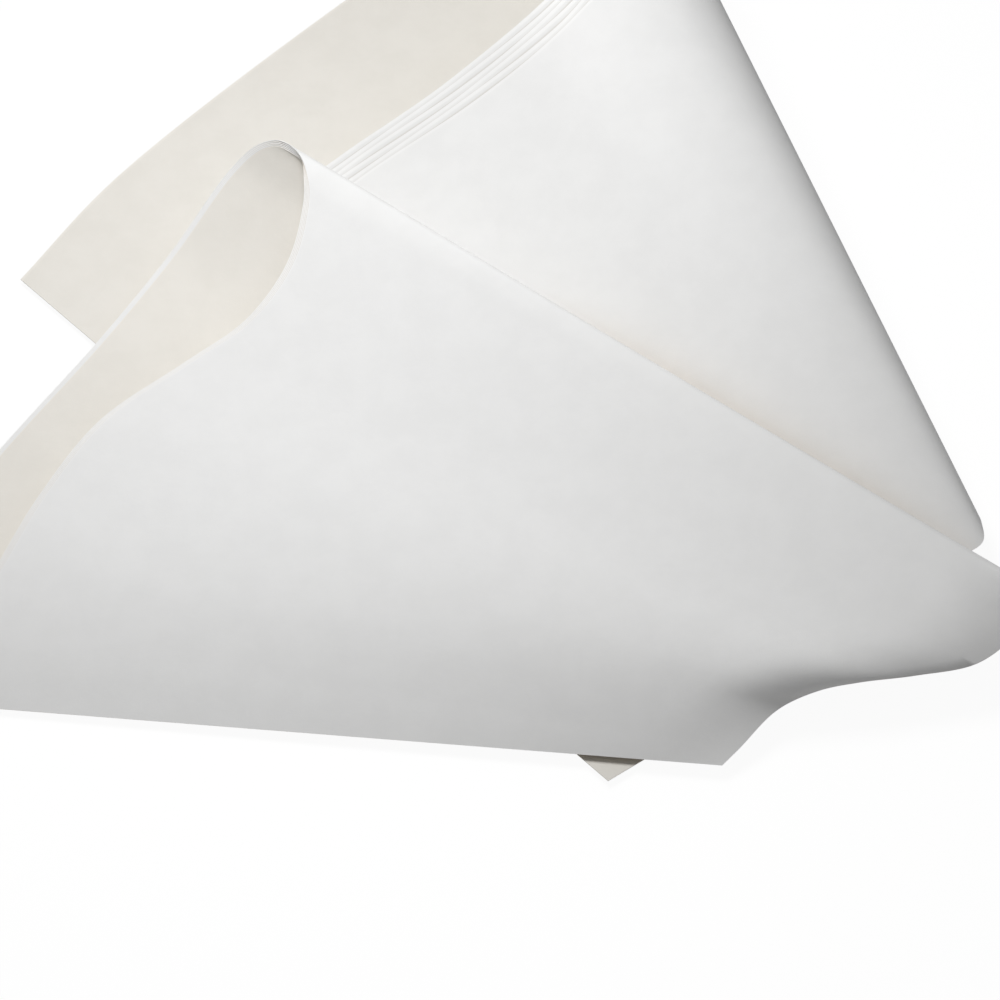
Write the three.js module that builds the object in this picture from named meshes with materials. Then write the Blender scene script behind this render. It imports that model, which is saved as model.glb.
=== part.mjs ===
// Laboratory filter paper: a stack of large loose sheets, folded over twice.
// Six lower sheets lie on the table and fold back over their right end.
// Five upper sheets lie on them and fold forward over a long ridge.
// Millimetres, +Z up, +X to the right and +Y away from the front.
import * as THREE from 'three';

// Driving sizes
const sheetWidth = 600;
const sheetThickness = 0.6;
const sheetGap = 0.4;            // air between two neighbouring sheets
const lowerSheetCount = 6;
const upperSheetCount = 5;
const lowerStep = 6;             // how far each folded-back lower sheet reaches past the next
const upperStep = 1.5;           // the same on the upper sheets, which lie almost flush
const flushPart = 0.25;          // share of a sheet's length over which the stack lies flush
const lowerFold = { far: 150, near: 29 };    // heights of the fold at its two ends
const upperFold = { far: 105, near: 59 };
const rowsPerRuling = 3;         // rows of faces between two of the rulings below
const columns = 3;               // faces across the width of a sheet
const sheetColour = 0xebe9e4;

const sheetPitch = sheetThickness + sheetGap;
const lowerStackHeight = lowerSheetCount * sheetPitch;
const upperStackHeight = upperSheetCount * sheetPitch;

// Heights that follow from the sheets underneath
const onTable = 0;
const onLowerRun = 2 * lowerStackHeight + sheetGap;
const onFoldedStack = onLowerRun + 2;
const onSheetEdges = lowerStackHeight + 5.5;

// A bent sheet is a set of straight lines, its rulings, from the near cut edge to the far one.
// Each row gives one ruling on the outer face: its near point, the heading that it runs off in,
// in degrees from +X, how much longer it is than the sheet is wide, and its far point's height.
const lowerRulings = [
  // flat on the table, from the free end towards the fold
  { near: [71, -229, onTable], heading: 135.0, longer: -2, farHeight: onTable },
  { near: [134, -186, onTable], heading: 131.4, longer: 38, farHeight: onTable },
  { near: [231, -112, onTable], heading: 120.9, longer: 85, farHeight: onTable },
  // rising into the fold, which is wide at the far end and tight at the near end
  { near: [274, -78, 1], heading: 116.5, longer: 104, farHeight: 6 },
  { near: [306, -52, 4], heading: 112.4, longer: 84, farHeight: 0.2 * lowerFold.far },
  { near: [326, -34, 0.31 * lowerFold.near], heading: 110.8, longer: 19, farHeight: 0.47 * lowerFold.far },
  { near: [330, -26, 0.59 * lowerFold.near], heading: 111.4, longer: -37, farHeight: 0.69 * lowerFold.far },
  // over the top
  { near: [331, -38, 0.86 * lowerFold.near], heading: 112.8, longer: -53, farHeight: 0.89 * lowerFold.far },
  { near: [329, -56, lowerFold.near], heading: 115.4, longer: -62, farHeight: lowerFold.far },
  { near: [306, -70, lowerFold.near], heading: 117.3, longer: -80, farHeight: 0.99 * lowerFold.far },
  // and down again onto the flat part
  { near: [275, -82, 0.86 * lowerFold.near], heading: 119.1, longer: -98, farHeight: 0.87 * lowerFold.far },
  { near: [202, -118, 0.55 * lowerFold.near], heading: 117.9, longer: -91, farHeight: 0.51 * lowerFold.far },
  { near: [155, -130, onLowerRun], heading: 121.9, longer: -89, farHeight: 0.18 * lowerFold.far },
  { near: [134, -146, onLowerRun], heading: 124.6, longer: -87, farHeight: onLowerRun },
];

const upperRulings = [
  // the lower layer, from its free end towards the ridge
  { near: [120, -172, onFoldedStack + 2], heading: 170.1, longer: -47, farHeight: onTable },
  { near: [188, -158, onFoldedStack + 3], heading: 159.9, longer: -24, farHeight: 5 },
  { near: [262, -143, onFoldedStack + 6], heading: 153.5, longer: 14, farHeight: onSheetEdges + 4 },
  { near: [302, -138, 0.42 * upperFold.near], heading: 148.3, longer: 38, farHeight: 0.28 * upperFold.far },
  // the rear wall and the ridge
  { near: [327, -122, 0.51 * upperFold.near], heading: 145.1, longer: 39, farHeight: 0.65 * upperFold.far },
  { near: [340, -108, 0.66 * upperFold.near], heading: 145.2, longer: 28, farHeight: 0.85 * upperFold.far },
  { near: [345, -102, 0.81 * upperFold.near], heading: 145.4, longer: 11, farHeight: 0.96 * upperFold.far },
  { near: [348, -104, 0.93 * upperFold.near], heading: 145.9, longer: -4, farHeight: upperFold.far },
  { near: [352, -112, upperFold.near], heading: 146.8, longer: -11, farHeight: 0.96 * upperFold.far },
  // the front panel, coming down to its straight free edge
  { near: [353, -127, upperFold.near], heading: 147.2, longer: -12, farHeight: 0.88 * upperFold.far },
  { near: [340, -150, 0.95 * upperFold.near], heading: 148.3, longer: -22, farHeight: 0.72 * upperFold.far },
  { near: [315, -169, 0.9 * upperFold.near], heading: 150.1, longer: -29, farHeight: 0.57 * upperFold.far },
  { near: [275, -178, 0.9 * upperFold.near], heading: 152.0, longer: -37, farHeight: 0.47 * upperFold.far },
  { near: [238, -184, 0.92 * upperFold.near], heading: 156.4, longer: -36, farHeight: 0.4 * upperFold.far },
  { near: [209, -188, 0.83 * upperFold.near], heading: 162.1, longer: -47, farHeight: 0.34 * upperFold.far },
  { near: [182, -196, 0.63 * upperFold.near], heading: 166.5, longer: -62, farHeight: 0.29 * upperFold.far },
  { near: [158, -213, 0.34 * upperFold.near], heading: 170.1, longer: -69, farHeight: 0.19 * upperFold.far },
  { near: [146, -221, onSheetEdges], heading: 174.4, longer: -67, farHeight: upperStackHeight },
];

function nearPoint(ruling) {
  return new THREE.Vector3(...ruling.near);
}

function farPoint(ruling) {
  const heading = THREE.MathUtils.degToRad(ruling.heading);
  const reach = sheetWidth + ruling.longer;
  return new THREE.Vector3(
    ruling.near[0] + reach * Math.cos(heading),
    ruling.near[1] + reach * Math.sin(heading),
    ruling.farHeight,
  );
}

// The outer face of a stack. A point on it is given by its share of the way from end to end and its
// share of the way across, between the distances that the sheet stops short of the two rails.
// A depth moves the point from the outer face towards the inside of the bend.
function bentSurface(rulings) {
  const farRail = new THREE.CatmullRomCurve3(rulings.map(farPoint), false, 'centripetal');
  const nearRail = new THREE.CatmullRomCurve3(rulings.map(nearPoint), false, 'centripetal');
  const nudge = 0.0005;

  function pointAt(along, across) {
    const point = farRail.getPoint(along).lerp(nearRail.getPoint(along), across);
    point.z = Math.max(point.z, onTable);
    return point;
  }

  return function surfacePoint(along, share, farTrim, nearTrim, depth) {
    const width = farRail.getPoint(along).distanceTo(nearRail.getPoint(along));
    const slip = THREE.MathUtils.smoothstep(along, flushPart, 2 * flushPart) / width;
    const across = THREE.MathUtils.lerp(farTrim * slip, 1 - nearTrim * slip, share);
    const before = Math.max(along - nudge, 0);
    const after = Math.min(along + nudge, 1);
    const forward = pointAt(after, across).sub(pointAt(before, across));
    const sideways = pointAt(along, 1).sub(pointAt(along, 0));
    const inward = sideways.cross(forward).normalize();
    return pointAt(along, across).addScaledVector(inward, depth);
  };
}

// One sheet as a closed shell of even thickness, at a depth below the outer face of its stack
function sheetGeometry(surfacePoint, rows, depth, farTrim, nearTrim) {
  const positions = [];
  const faces = [];
  for (const level of [depth, depth + sheetThickness]) {
    for (let row = 0; row <= rows; row += 1) {
      for (let column = 0; column <= columns; column += 1) {
        const point = surfacePoint(row / rows, column / columns, farTrim, nearTrim, level);
        positions.push(point.x, point.y, point.z);
      }
    }
  }
  const corner = (level, row, column) => (level * (rows + 1) + row) * (columns + 1) + column;

  function quad(a, b, c, d) {
    faces.push(a, b, c, a, c, d);
  }

  for (let row = 0; row < rows; row += 1) {
    for (let column = 0; column < columns; column += 1) {
      const outer = [[0, 0], [1, 0], [1, 1], [0, 1]].map(([r, c]) => corner(0, row + r, column + c));
      const inner = [[0, 0], [0, 1], [1, 1], [1, 0]].map(([r, c]) => corner(1, row + r, column + c));
      quad(...outer);
      faces.push(inner[0], inner[1], inner[2]);
      faces.push(inner[0], inner[2], inner[3]);
    }
    quad(corner(0, row, 0), corner(1, row, 0), corner(1, row + 1, 0), corner(0, row + 1, 0));
    quad(corner(0, row, columns), corner(0, row + 1, columns),
      corner(1, row + 1, columns), corner(1, row, columns));
  }
  for (let column = 0; column < columns; column += 1) {
    quad(corner(0, 0, column), corner(0, 0, column + 1),
      corner(1, 0, column + 1), corner(1, 0, column));
    quad(corner(0, rows, column), corner(1, rows, column),
      corner(1, rows, column + 1), corner(0, rows, column + 1));
  }
  const geometry = new THREE.BufferGeometry();
  geometry.setAttribute('position', new THREE.Float32BufferAttribute(positions, 3));
  geometry.setIndex(faces);
  geometry.computeVertexNormals();
  return geometry;
}

function paperMaterial() {
  return new THREE.MeshStandardMaterial({ color: sheetColour, roughness: 0.95, metalness: 0 });
}

// A stack of sheets on one bent surface, numbered from the outermost sheet inwards. The edges are
// flush at the free end. Past that each sheet slips by one step, so the cut edges show as a fan.
function sheetStack(name, rulings, count, step) {
  const stack = new THREE.Group();
  const surfacePoint = bentSurface(rulings);
  const rows = (rulings.length - 1) * rowsPerRuling;
  for (let index = 0; index < count; index += 1) {
    const farTrim = (count - 1 - index) * step;
    const nearTrim = index * step;
    const geometry = sheetGeometry(surfacePoint, rows, index * sheetPitch, farTrim, nearTrim);
    const sheet = new THREE.Mesh(geometry, paperMaterial());
    sheet.name = `${name}_${index + 1}`;
    stack.add(sheet);
  }
  return stack;
}

const filterPaper = new THREE.Group();
filterPaper.add(sheetStack('lower_sheet', lowerRulings, lowerSheetCount, lowerStep));
filterPaper.add(sheetStack('upper_sheet', upperRulings, upperSheetCount, upperStep));

// The origin is at the middle of the footprint, on the table
const extent = new THREE.Box3().setFromObject(filterPaper);
const middle = extent.getCenter(new THREE.Vector3());
filterPaper.position.set(-middle.x, -middle.y, -extent.min.z);

export default filterPaper;
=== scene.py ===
import math

import bpy
import numpy as np
from mathutils import Matrix, Vector

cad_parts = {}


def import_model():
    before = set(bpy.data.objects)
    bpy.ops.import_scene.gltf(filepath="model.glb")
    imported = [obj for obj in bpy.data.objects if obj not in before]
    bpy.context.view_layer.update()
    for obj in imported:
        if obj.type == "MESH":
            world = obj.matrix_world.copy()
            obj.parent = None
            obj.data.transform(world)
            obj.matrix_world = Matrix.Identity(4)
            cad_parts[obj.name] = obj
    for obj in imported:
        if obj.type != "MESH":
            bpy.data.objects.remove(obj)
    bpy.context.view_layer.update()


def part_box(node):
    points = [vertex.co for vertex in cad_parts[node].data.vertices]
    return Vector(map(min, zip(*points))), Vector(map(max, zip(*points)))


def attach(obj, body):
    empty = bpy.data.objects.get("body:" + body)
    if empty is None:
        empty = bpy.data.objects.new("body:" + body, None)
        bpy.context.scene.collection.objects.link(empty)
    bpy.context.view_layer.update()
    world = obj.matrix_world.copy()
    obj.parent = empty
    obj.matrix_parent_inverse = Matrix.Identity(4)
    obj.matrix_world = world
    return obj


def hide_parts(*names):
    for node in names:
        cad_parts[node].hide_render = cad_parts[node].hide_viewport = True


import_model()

# Sizes of the stack, in millimetres like the rulings below
SHEET_WIDTH = 600
SHEET_THICKNESS = 0.6
SHEET_GAP = 0.4
LOWER_COUNT = 6
UPPER_COUNT = 5
LOWER_STEP = 6
UPPER_STEP = 1.5
FLUSH_PART = 0.25
LOWER_FOLD_FAR = 150
LOWER_FOLD_NEAR = 29
UPPER_FOLD_FAR = 105
UPPER_FOLD_NEAR = 59
SHEET_PITCH = SHEET_THICKNESS + SHEET_GAP
LOWER_STACK = LOWER_COUNT * SHEET_PITCH
UPPER_STACK = UPPER_COUNT * SHEET_PITCH
ON_TABLE = 0
ON_LOWER_RUN = 2 * LOWER_STACK + SHEET_GAP
ON_FOLDED_STACK = ON_LOWER_RUN + 2
ON_SHEET_EDGES = LOWER_STACK + 5.5
CAD_ROWS_PER_RULING = 3
CAD_COLUMNS = 3

# The near edge of the upper sheets' front panel curls down by this much, over this width. The
# curl is gone where the edge is down at this height. Along the sheet it starts at this share of
# the way and takes this much more of it to be full.
CURL_DROP = 17
CURL_WIDTH = 60
CURL_FLOOR = 10
CURL_START = 0.47
CURL_RISE = 0.1

# Loose cut edges: at a free end a sheet ends this far before the one above it. The lengths turn
# that into a share of the way along. The lower sheets' far edges waver by this much, in a wave of
# so many radians over a sheet's length, shifted from each sheet to the next.
TUCKED_STEP = 3
LOWER_FREE_LENGTH = 900
UPPER_FREE_LENGTH = 700
WAVE = 0.6
WAVE_RADIANS = 40
WAVE_SHIFT = 2.1

# The order of the upper sheets' steps turns round from this share of the way, over this much of it
TURN_START = 0.36
TURN_LENGTH = 0.14

# The view, the light and the floor. Lengths are in metres, but for the camera's sensor.
CAMERA_DISTANCE = 2.2
CAMERA_ELEVATION = math.radians(55)
VIEW_WIDTH = 0.7
AMBIENT = 0.19
LAMP_PLACE = (-0.16, 0.06, 1.0)
LAMP_TARGET = (0.0, 0.0, 0.0)
LAMP_SIZE = 0.45
LAMP_WATTS = 7.5
SENSOR_WIDTH_MM = 36.0
FLOOR_HALF_WIDTH = 6.0
FLOOR_DEPTH = 0.0005
FLOOR_GREY = 0.8
FLOOR_GLOW = 1.05
FLOOR_GLOW_SHARE = 0.9

# The paper's outer face, and its inner face painted darker and warmer as shade from light bounced
# inside the folds, each at its darkest and palest
OUTER_FACE_PAPER = (0.930, 0.930, 0.924), (0.955, 0.955, 0.949)
INNER_FACE_PAINTED_SHADE = (0.918, 0.888, 0.826), (0.945, 0.915, 0.855)

# Painted light that is multiplied with these: painted shade in the hollows, which are felt this far
# off in metres, and near the cut edges a painted highlight, then painted shade from plain paper to the
# groove where the next sheet ends
WHITE = (1.0, 1.0, 1.0)
BLACK = (0.0, 0.0, 0.0)
OUTER_HOLLOW_PAINTED_SHADE = (0.82, 0.755, 0.67)
INNER_HOLLOW_PAINTED_SHADE = (0.97, 0.935, 0.88)
HOLLOW_REACH = 0.05
PLAIN_PAPER = (0.955, 0.955, 0.955)
PAINTED_SHADE_BESIDE_EDGE = (0.92, 0.92, 0.92)
PAINTED_SHADE_UNDER_EDGE = (0.90, 0.90, 0.90)
PAINTED_SHADE_GROOVE = (0.80, 0.79, 0.775)

# Fineness of the visible sheets, the share of the way that a surface's direction is found over,
# and the angle past which an edge is drawn sharp
ROWS_PER_RULING = 9
COLUMNS = 44
NUDGE = 0.0005
SHARP_ANGLE = math.radians(50)

# The straight lines of each bent sheet, on its outer face: the near point, the heading in degrees,
# how much longer the line is than the sheet is wide, and the height of its far point
LOWER_RULINGS = [
    # flat on the table, from the free end towards the fold
    ((71, -229, ON_TABLE), 135.0, -2, ON_TABLE),
    ((134, -186, ON_TABLE), 131.4, 38, ON_TABLE),
    ((231, -112, ON_TABLE), 120.9, 85, ON_TABLE),
    # rising into the fold, which is wide at the far end and tight at the near end
    ((274, -78, 1), 116.5, 104, 6),
    ((306, -52, 4), 112.4, 84, 0.2 * LOWER_FOLD_FAR),
    ((326, -34, 0.31 * LOWER_FOLD_NEAR), 110.8, 19, 0.47 * LOWER_FOLD_FAR),
    ((330, -26, 0.59 * LOWER_FOLD_NEAR), 111.4, -37, 0.69 * LOWER_FOLD_FAR),
    # over the top
    ((331, -38, 0.86 * LOWER_FOLD_NEAR), 112.8, -53, 0.89 * LOWER_FOLD_FAR),
    ((329, -56, LOWER_FOLD_NEAR), 115.4, -62, LOWER_FOLD_FAR),
    ((306, -70, LOWER_FOLD_NEAR), 117.3, -80, 0.99 * LOWER_FOLD_FAR),
    # and down again onto the flat part
    ((275, -82, 0.86 * LOWER_FOLD_NEAR), 119.1, -98, 0.87 * LOWER_FOLD_FAR),
    ((202, -118, 0.55 * LOWER_FOLD_NEAR), 117.9, -91, 0.51 * LOWER_FOLD_FAR),
    ((155, -130, ON_LOWER_RUN), 121.9, -89, 0.18 * LOWER_FOLD_FAR),
    ((134, -146, ON_LOWER_RUN), 124.6, -87, ON_LOWER_RUN),
]
UPPER_RULINGS = [
    # the lower layer, from its free end towards the ridge
    ((120, -172, ON_FOLDED_STACK + 2), 170.1, -47, ON_TABLE),
    ((188, -158, ON_FOLDED_STACK + 3), 159.9, -24, 5),
    ((262, -143, ON_FOLDED_STACK + 6), 153.5, 14, ON_SHEET_EDGES + 4),
    ((302, -138, 0.42 * UPPER_FOLD_NEAR), 148.3, 38, 0.28 * UPPER_FOLD_FAR),
    # the rear wall and the ridge
    ((327, -122, 0.51 * UPPER_FOLD_NEAR), 145.1, 39, 0.65 * UPPER_FOLD_FAR),
    ((340, -108, 0.66 * UPPER_FOLD_NEAR), 145.2, 28, 0.85 * UPPER_FOLD_FAR),
    ((345, -102, 0.81 * UPPER_FOLD_NEAR), 145.4, 11, 0.96 * UPPER_FOLD_FAR),
    ((348, -104, 0.93 * UPPER_FOLD_NEAR), 145.9, -4, UPPER_FOLD_FAR),
    ((352, -112, UPPER_FOLD_NEAR), 146.8, -11, 0.96 * UPPER_FOLD_FAR),
    # the front panel, coming down to its straight free edge
    ((353, -127, UPPER_FOLD_NEAR), 147.2, -12, 0.88 * UPPER_FOLD_FAR),
    ((340, -150, 0.95 * UPPER_FOLD_NEAR), 148.3, -22, 0.72 * UPPER_FOLD_FAR),
    ((315, -169, 0.9 * UPPER_FOLD_NEAR), 150.1, -29, 0.57 * UPPER_FOLD_FAR),
    ((275, -178, 0.9 * UPPER_FOLD_NEAR), 152.0, -37, 0.47 * UPPER_FOLD_FAR),
    ((238, -184, 0.92 * UPPER_FOLD_NEAR), 156.4, -36, 0.4 * UPPER_FOLD_FAR),
    ((209, -188, 0.83 * UPPER_FOLD_NEAR), 162.1, -47, 0.34 * UPPER_FOLD_FAR),
    ((182, -196, 0.63 * UPPER_FOLD_NEAR), 166.5, -62, 0.29 * UPPER_FOLD_FAR),
    ((158, -213, 0.34 * UPPER_FOLD_NEAR), 170.1, -69, 0.19 * UPPER_FOLD_FAR),
    ((146, -221, ON_SHEET_EDGES), 174.4, -67, UPPER_STACK),
]


def ease(share):
    """A soft rise from 0 to 1."""
    share = np.clip(share, 0, 1)
    return share ** 2 * (3 - 2 * share)


def ends(rulings):
    """The far and the near points of a stack's rulings."""
    nears, headings, extras, far_heights = zip(*rulings)
    near = np.array(nears, float)
    heading = np.radians(headings)
    reach = SHEET_WIDTH + np.array(extras, float)
    far = np.stack([near[:, 0] + reach * np.cos(heading), near[:, 1] + reach * np.sin(heading),
                    np.array(far_heights, float)], axis=1)
    return far, near


def rail(points, shares):
    """Points on a smooth curve through the given ones, at shares of the way along.

    It is a centripetal Catmull-Rom curve, as in the CAD model.
    """
    spans = len(points) - 1
    before, after = 2 * points[0] - points[1], 2 * points[-1] - points[-2]
    knots = np.vstack([before, points, after])
    place = np.clip(shares, 0, 1) * spans
    span = np.minimum(place.astype(int), spans - 1)
    within = (place - span)[:, None]
    a, b, c, d = (knots[span + offset] for offset in range(4))

    def spacing(start, end):
        return np.sqrt(np.linalg.norm(end - start, axis=1))[:, None]

    ab, bc, cd = spacing(a, b), spacing(b, c), spacing(c, d)
    leave = ((b - a) / ab - (c - a) / (ab + bc) + (c - b) / bc) * bc
    arrive = ((c - b) / bc - (d - b) / (bc + cd) + (d - c) / cd) * bc
    cubic = 2 * b - 2 * c + leave + arrive
    square = -3 * b + 3 * c - 2 * leave - arrive
    return b + within * (leave + within * (square + within * cubic))


def surface(rulings, along, across):
    """Points and inward normals of a stack's outer face, on a grid of shares of its two ways."""
    far, near = ends(rulings)

    def ruled(shares):
        lines = rail(far, shares), rail(near, shares)
        points = lines[0][:, None] * (1 - across[..., None]) + lines[1][:, None] * across[..., None]
        points[..., 2] = np.maximum(points[..., 2], ON_TABLE)
        return points, lines

    points, lines = ruled(along)
    forward = ruled(np.minimum(along + NUDGE, 1))[0] - ruled(np.maximum(along - NUDGE, 0))[0]
    sideways = np.broadcast_to((lines[1] - lines[0])[:, None], forward.shape)
    inward = np.cross(sideways, forward)
    return points, inward / np.linalg.norm(inward, axis=2, keepdims=True)


def slip_share(along):
    """None at the free end, where the sheets lie flush, and all of a step past the flush part."""
    return ease(along / FLUSH_PART - 1)


def loose_edges(name, outer_sheets, inner_sheets, step, along):
    """How a sheet of a loose stack ends: its rows along, and what its two long edges leave free."""
    slip = slip_share(along)
    if name == "lower":
        wave = WAVE * np.sin(WAVE_RADIANS * along + WAVE_SHIFT * outer_sheets)
        far_trim = np.maximum(inner_sheets * step + wave, 0) * slip
        under = inner_sheets * TUCKED_STEP
        near_trim = outer_sheets * step * slip + under * (1 - slip)
        start = under / LOWER_FREE_LENGTH
        return start + (1 - start) * along, far_trim, near_trim
    turned = ease((along - TURN_START) / TURN_LENGTH)
    far_trim = step * (inner_sheets * turned + outer_sheets * (1 - turned))
    end = 1 - outer_sheets * TUCKED_STEP / UPPER_FREE_LENGTH
    return end * along, far_trim, outer_sheets * step * slip


def curled(points, along):
    """The upper sheets' front panel, with its near cut edge curling down."""
    away = np.array([0, math.cos(CAMERA_ELEVATION), -math.sin(CAMERA_ELEVATION)])
    width = np.linalg.norm(points[:, -1] - points[:, 0], axis=1)[:, None]
    distance = width * (1 - np.linspace(0, 1, points.shape[1])[None])
    clear = np.clip((points[:, -1:, 2] - CURL_FLOOR) / CURL_WIDTH * 2, 0, 1)
    where = ease((along - CURL_START) / CURL_RISE)[:, None] * clear
    drop = CURL_DROP * where * np.clip(1 - distance / CURL_WIDTH, 0, 1) ** 2
    return points + drop[..., None] * away


def trimmed(rulings, along, columns, far_trim, near_trim):
    """The shares across for a sheet that stops short of its two rails by these lengths."""
    far, near = ends(rulings)
    width = np.linalg.norm(rail(far, along) - rail(near, along), axis=1)
    share = np.linspace(0, 1, columns + 1)[None, :]
    low, high = (far_trim / width)[:, None], (1 - near_trim / width)[:, None]
    return low + (high - low) * share


def frame_shift():
    """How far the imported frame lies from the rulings' own origin, in millimetres."""
    rows = (len(LOWER_RULINGS) - 1) * CAD_ROWS_PER_RULING
    along = np.linspace(0, 1, rows + 1)
    far_trim = (LOWER_COUNT - 1) * LOWER_STEP * slip_share(along)
    across = trimmed(LOWER_RULINGS, along, CAD_COLUMNS, far_trim, 0 * far_trim)
    points, inward = surface(LOWER_RULINGS, along, across)
    both = np.concatenate([points, points + inward * SHEET_THICKNESS]).reshape(-1, 3)
    return np.array(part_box("lower_sheet_1")[0]) * 1000 - both.min(axis=0)


SHIFT = frame_shift()
VIEW_CENTRE = Vector((SHIFT[0] / 1000, SHIFT[1] / 1000, 0.0))


def shell_faces(rows, columns):
    """The faces of a closed shell: the outer grid, the inner one and the four cut edges."""
    index = np.arange(2 * (rows + 1) * (columns + 1)).reshape(2, rows + 1, columns + 1)
    lift = index[1, 0, 0]
    faces = []
    for row in range(rows):
        for column in range(columns):
            a, b, c, d = (index[0, row, column], index[0, row + 1, column],
                          index[0, row + 1, column + 1], index[0, row, column + 1])
            faces.append((a, b, c, d))
            faces.append((a + lift, d + lift, c + lift, b + lift))
        faces.append((index[0, row, 0], index[1, row, 0],
                      index[1, row + 1, 0], index[0, row + 1, 0]))
        faces.append((index[0, row, -1], index[0, row + 1, -1],
                      index[1, row + 1, -1], index[1, row, -1]))
    for column in range(columns):
        faces.append((index[0, 0, column], index[0, 0, column + 1],
                      index[1, 0, column + 1], index[1, 0, column]))
        faces.append((index[0, -1, column], index[1, -1, column],
                      index[1, -1, column + 1], index[0, -1, column + 1]))
    return [tuple(int(corner) for corner in face) for face in faces]


def closed_sheet(name, outer, inner, material, step, covered):
    """A sheet from its two faces, as a mesh with a flat UV map in metres.

    A second map holds the distances from the two cut edges, counted in steps between the sheets.
    Two more values tell the inner face from the outer one, and where another sheet lies on this one.
    """
    rows, columns = outer.shape[0] - 1, outer.shape[1] - 1
    points = (np.concatenate([outer.reshape(-1, 3), inner.reshape(-1, 3)]) + SHIFT) / 1000
    mesh = bpy.data.meshes.new(name)
    mesh.from_pydata(points.tolist(), [], shell_faces(rows, columns))
    corners = np.zeros(len(mesh.loops), int)
    mesh.loops.foreach_get("vertex_index", corners)

    lengths = np.linalg.norm(np.diff(outer, axis=0), axis=2).mean(axis=1)
    down = np.concatenate([[0], np.cumsum(lengths)]) / 1000
    width = np.linalg.norm(outer[:, -1] - outer[:, 0], axis=1)
    over = np.linspace(0, width.mean() / 1000, columns + 1)
    flat = np.stack(np.broadcast_arrays(down[:, None], over[None]), axis=2)
    shares = np.linspace(0, 1, columns + 1)[None]
    steps = width[:, None] / step
    edges = np.stack([steps * shares, steps * (1 - shares)], axis=2)
    for map_name, places in (("flat", flat), ("edges", edges)):
        both_faces = np.concatenate([places.reshape(-1, 2)] * 2)
        layer = mesh.uv_layers.new(name=map_name)
        layer.data.foreach_set("uv", both_faces[corners].ravel())

    side = np.repeat([0.0, 1.0], (rows + 1) * (columns + 1))
    for value_name, values in (("inner_face", side), ("covered", np.repeat(covered, columns + 1))):
        attribute = mesh.attributes.new(value_name, "FLOAT", "POINT")
        attribute.data.foreach_set("value", values)

    mesh.shade_smooth()
    mesh.set_sharp_from_angle(angle=SHARP_ANGLE)
    mesh.materials.append(material)
    piece = bpy.data.objects.new(name, mesh)
    bpy.context.scene.collection.objects.link(piece)
    return piece


def node(tree, kind, **sockets):
    """A new node, with some of its sockets set."""
    made = tree.nodes.new(kind)
    for key, value in sockets.items():
        made.inputs[key.replace("_", " ")].default_value = value
    return made


def link(tree, source, target):
    """A wire between two sockets."""
    tree.links.new(source, target)


def ramp(tree, source, stops):
    """A colour ramp with smooth stops of (position, colour)."""
    made = tree.nodes.new("ShaderNodeValToRGB")
    made.color_ramp.interpolation = "EASE"
    while len(made.color_ramp.elements) < len(stops):
        made.color_ramp.elements.new(0.5)
    for element, (position, colour) in zip(made.color_ramp.elements, stops):
        element.position = position
        element.color = (*colour, 1)
    link(tree, source, made.inputs["Fac"])
    return made.outputs["Color"]


def feed(tree, source, target):
    """A socket fed by another one, or set to a number or a colour."""
    if isinstance(source, bpy.types.NodeSocket):
        link(tree, source, target)
    else:
        target.default_value = source


def blend(tree, mode, share, first, second):
    """Two colours blended, by a number or by the value of a socket."""
    made = tree.nodes.new("ShaderNodeMix")
    made.data_type = "RGBA"
    made.blend_type = mode
    feed(tree, share, made.inputs["Factor"])
    feed(tree, first, made.inputs[6])
    feed(tree, second, made.inputs[7])
    return made.outputs[2]


def math_of(tree, operation, first, second):
    """What a math node makes of two sockets or numbers."""
    made = tree.nodes.new("ShaderNodeMath")
    made.operation = operation
    feed(tree, first, made.inputs[0])
    feed(tree, second, made.inputs[1])
    return made.outputs["Value"]


def value_range(tree, source, low, high):
    """A socket's value from 0 to 1, taken to this range."""
    made = tree.nodes.new("ShaderNodeMapRange")
    made.inputs["To Min"].default_value = low
    made.inputs["To Max"].default_value = high
    link(tree, source, made.inputs["Value"])
    return made.outputs["Result"]


def named_value(tree, name):
    """A value kept on a mesh's points."""
    made = tree.nodes.new("ShaderNodeAttribute")
    made.attribute_name = name
    return made.outputs["Fac"]


def edge_distance(tree):
    """A quarter of the number of steps from the far cut edge."""
    edges = tree.nodes.new("ShaderNodeUVMap")
    edges.uv_map = "edges"
    ways = tree.nodes.new("ShaderNodeSeparateXYZ")
    link(tree, edges.outputs["UV"], ways.inputs["Vector"])
    return math_of(tree, "MULTIPLY", ways.outputs["X"], 0.25)


def edge_highlight_and_shade(tree, distance):
    """A painted highlight along the cut edges, and a soft line of painted shade where the sheet above
    ends.
    """
    # Painted highlight: the cut edge itself is white, and the plain paper beside it is a little darker
    free = ramp(tree, distance, [(0.0, WHITE), (0.06, WHITE), (0.11, PLAIN_PAPER), (1.0, PLAIN_PAPER)])
    # Painted shade that deepens towards the groove under the edge of the sheet above
    under = ramp(tree, distance, [(0.0, WHITE), (0.08, WHITE), (0.14, PAINTED_SHADE_BESIDE_EDGE), (0.19, PAINTED_SHADE_UNDER_EDGE),
                                  (0.235, PAINTED_SHADE_GROOVE), (0.262, PAINTED_SHADE_GROOVE), (0.30, PLAIN_PAPER),
                                  (1.0, PLAIN_PAPER)])
    return blend(tree, "MIX", named_value(tree, "covered"), free, under)


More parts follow.
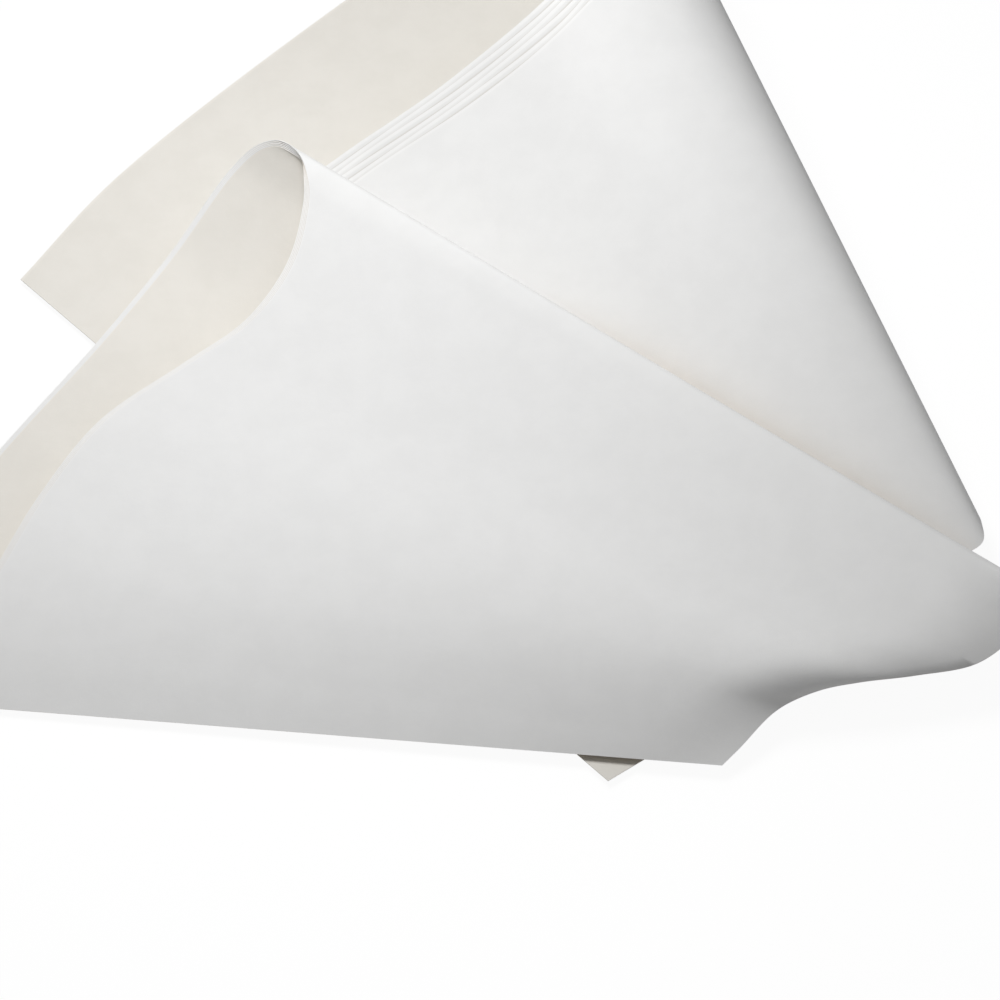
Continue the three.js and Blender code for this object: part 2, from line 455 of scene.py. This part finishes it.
def paper_colour(tree, place):
    """Cloudy fibre formation, with painted shade on the inner face and in the hollows, and a painted
    highlight and a groove of painted shade at the cut edges.
    """
    clouds = node(tree, "ShaderNodeTexNoise", Scale=38.0, Detail=5.0, Roughness=0.62)
    link(tree, place.outputs["Object"], clouds.inputs["Vector"])
    # The outer face's colour, and painted shade on the inner face, darker and warmer. The painted
    # shade is kept off a covered sheet's strip beside its far cut edge.
    outer_face_colour, shaded_inner_colour = (ramp(tree, clouds.outputs["Fac"], [(0.3, darkest), (0.7, palest)])
                            for darkest, palest in (OUTER_FACE_PAPER, INNER_FACE_PAINTED_SHADE))
    distance = edge_distance(tree)
    inside = ramp(tree, distance, [(0.0, BLACK), (0.27, BLACK), (0.36, WHITE)])
    inside = blend(tree, "MIX", named_value(tree, "covered"), (*WHITE, 1), inside)
    inner_shade_share = math_of(tree, "MULTIPLY", named_value(tree, "inner_face"), inside)
    faces = blend(tree, "MIX", inner_shade_share, outer_face_colour, shaded_inner_colour)

    # Painted shade in the hollows, found by an ambient occlusion node: warm and strong on the outer
    # face, faint on the inner one
    hollows = node(tree, "ShaderNodeAmbientOcclusion", Distance=HOLLOW_REACH)
    hollows.samples = 8
    outer_shade = ramp(tree, hollows.outputs["AO"], [(0.35, OUTER_HOLLOW_PAINTED_SHADE), (0.96, WHITE)])
    inner_shade = ramp(tree, hollows.outputs["AO"], [(0.15, INNER_HOLLOW_PAINTED_SHADE), (0.85, WHITE)])
    shade = blend(tree, "MIX", named_value(tree, "inner_face"), outer_shade, inner_shade)
    paper = blend(tree, "MULTIPLY", 1.0, faces, shade)
    # The painted highlight and painted shade at the cut edges, multiplied in
    return blend(tree, "MULTIPLY", 1.0, paper, edge_highlight_and_shade(tree, distance))


def paper_material():
    """Soft uncoated paper, with a fine felt bump and no gloss."""
    material = bpy.data.materials.new("filter_paper")
    material.use_nodes = True
    tree = material.node_tree
    shader = tree.nodes["Principled BSDF"]
    place = tree.nodes.new("ShaderNodeTexCoord")
    link(tree, paper_colour(tree, place), shader.inputs["Base Color"])

    stretch = tree.nodes.new("ShaderNodeMapping")
    stretch.inputs["Scale"].default_value = (1.0, 2.6, 1.0)
    link(tree, place.outputs["UV"], stretch.inputs["Vector"])
    fibres = node(tree, "ShaderNodeTexNoise", Scale=900.0, Detail=4.0, Roughness=0.6, Distortion=0.8)
    link(tree, stretch.outputs["Vector"], fibres.inputs["Vector"])
    felt = node(tree, "ShaderNodeTexNoise", Scale=260.0, Detail=3.0, Roughness=0.55)
    link(tree, place.outputs["Object"], felt.inputs["Vector"])
    bump = node(tree, "ShaderNodeBump", Strength=0.35, Distance=0.00022)
    height = math_of(tree, "ADD", fibres.outputs["Fac"], felt.outputs["Fac"])
    link(tree, height, bump.inputs["Height"])
    link(tree, bump.outputs["Normal"], shader.inputs["Normal"])

    link(tree, value_range(tree, fibres.outputs["Fac"], 0.86, 0.98), shader.inputs["Roughness"])
    shader.inputs["Specular IOR Level"].default_value = 0.1
    return material


def stack(name, rulings, count, step, material):
    """The visible sheets of one stack, from the outermost sheet inwards."""
    rows = (len(rulings) - 1) * ROWS_PER_RULING
    even = np.linspace(0, 1, rows + 1)
    for index in range(count):
        along, far_trim, near_trim = loose_edges(name, index, count - 1 - index, step, even)
        across = trimmed(rulings, along, COLUMNS, far_trim, near_trim)
        points, inward = surface(rulings, along, across)
        outer = points + inward * (index * SHEET_PITCH)
        inner = outer + inward * SHEET_THICKNESS
        if name == "upper":
            outer, inner = curled(outer, along), curled(inner, along)
        spread = slip_share(even) if name == "lower" else np.ones(rows + 1)
        covered = np.concatenate([spread * (index > 0), spread * (index < count - 1)])
        piece = closed_sheet(f"paper_{name}_{index + 1}", outer, inner, material, step, covered)
        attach(piece, "root")
        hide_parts(f"{name}_sheet_{index + 1}")


def seen_directly(tree):
    """1 for what the camera sees itself, in a reflection or through glass, and 0 for other light."""
    path = tree.nodes.new("ShaderNodeLightPath")
    total = path.outputs["Is Camera Ray"]
    for kind in ("Is Glossy Ray", "Is Transmission Ray"):
        total = math_of(tree, "MAXIMUM", total, path.outputs[kind])
    return total


def floor():
    """A pale floor that looks white to the camera and keeps a faint shadow."""
    mesh = bpy.data.meshes.new("floor")
    corners = [(x * FLOOR_HALF_WIDTH, y * FLOOR_HALF_WIDTH, -FLOOR_DEPTH)
               for x, y in ((-1, -1), (1, -1), (1, 1), (-1, 1))]
    mesh.from_pydata(corners, [], [(0, 1, 2, 3)])
    material = bpy.data.materials.new("floor")
    material.use_nodes = True
    tree = material.node_tree
    shader = tree.nodes["Principled BSDF"]
    shader.inputs["Base Color"].default_value = (FLOOR_GREY, FLOOR_GREY, FLOOR_GREY, 1)
    shader.inputs["Roughness"].default_value = 1.0
    glow = node(tree, "ShaderNodeEmission", Strength=FLOOR_GLOW)
    mix = tree.nodes.new("ShaderNodeMixShader")
    link(tree, math_of(tree, "MULTIPLY", seen_directly(tree), FLOOR_GLOW_SHARE), mix.inputs["Fac"])
    link(tree, shader.outputs["BSDF"], mix.inputs[1])
    link(tree, glow.outputs["Emission"], mix.inputs[2])
    link(tree, mix.outputs["Shader"], tree.nodes["Material Output"].inputs["Surface"])
    mesh.materials.append(material)
    plane = bpy.data.objects.new("floor", mesh)
    bpy.context.scene.collection.objects.link(plane)


def world():
    """White to the camera, and a soft even light on the object."""
    made = bpy.data.worlds.new("studio")
    made.use_nodes = True
    bpy.context.scene.world = made
    tree = made.node_tree
    background = tree.nodes["Background"]
    background.inputs["Color"].default_value = (*WHITE, 1)
    link(tree, value_range(tree, seen_directly(tree), AMBIENT, 1.0), background.inputs["Strength"])


def aim(thing, place, target):
    """Put a lamp or camera in its place, looking at a target."""
    way = (Vector(target) - Vector(place)).to_track_quat("-Z", "Y")
    thing.matrix_world = Matrix.Translation(place) @ way.to_matrix().to_4x4()


def lamp(name, place, target, size, watts):
    """A round soft lamp that looks at a target."""
    data = bpy.data.lights.new(name, "AREA")
    data.shape = "DISK"
    data.size = size
    data.energy = watts
    light = bpy.data.objects.new(name, data)
    bpy.context.scene.collection.objects.link(light)
    aim(light, place, target)


def camera():
    """A camera at the photograph's viewing angle."""
    data = bpy.data.cameras.new("camera")
    data.sensor_width = SENSOR_WIDTH_MM
    data.lens = data.sensor_width * CAMERA_DISTANCE / VIEW_WIDTH
    thing = bpy.data.objects.new("camera", data)
    bpy.context.scene.collection.objects.link(thing)
    away = Vector((0, -math.cos(CAMERA_ELEVATION), math.sin(CAMERA_ELEVATION)))
    aim(thing, VIEW_CENTRE + away * CAMERA_DISTANCE, VIEW_CENTRE)
    bpy.context.scene.camera = thing


paper = paper_material()
stack("lower", LOWER_RULINGS, LOWER_COUNT, LOWER_STEP, paper)
stack("upper", UPPER_RULINGS, UPPER_COUNT, UPPER_STEP, paper)
floor()
world()
lamp("key", LAMP_PLACE, LAMP_TARGET, LAMP_SIZE, LAMP_WATTS)
camera()
bpy.context.scene.view_settings.view_transform = "Standard"
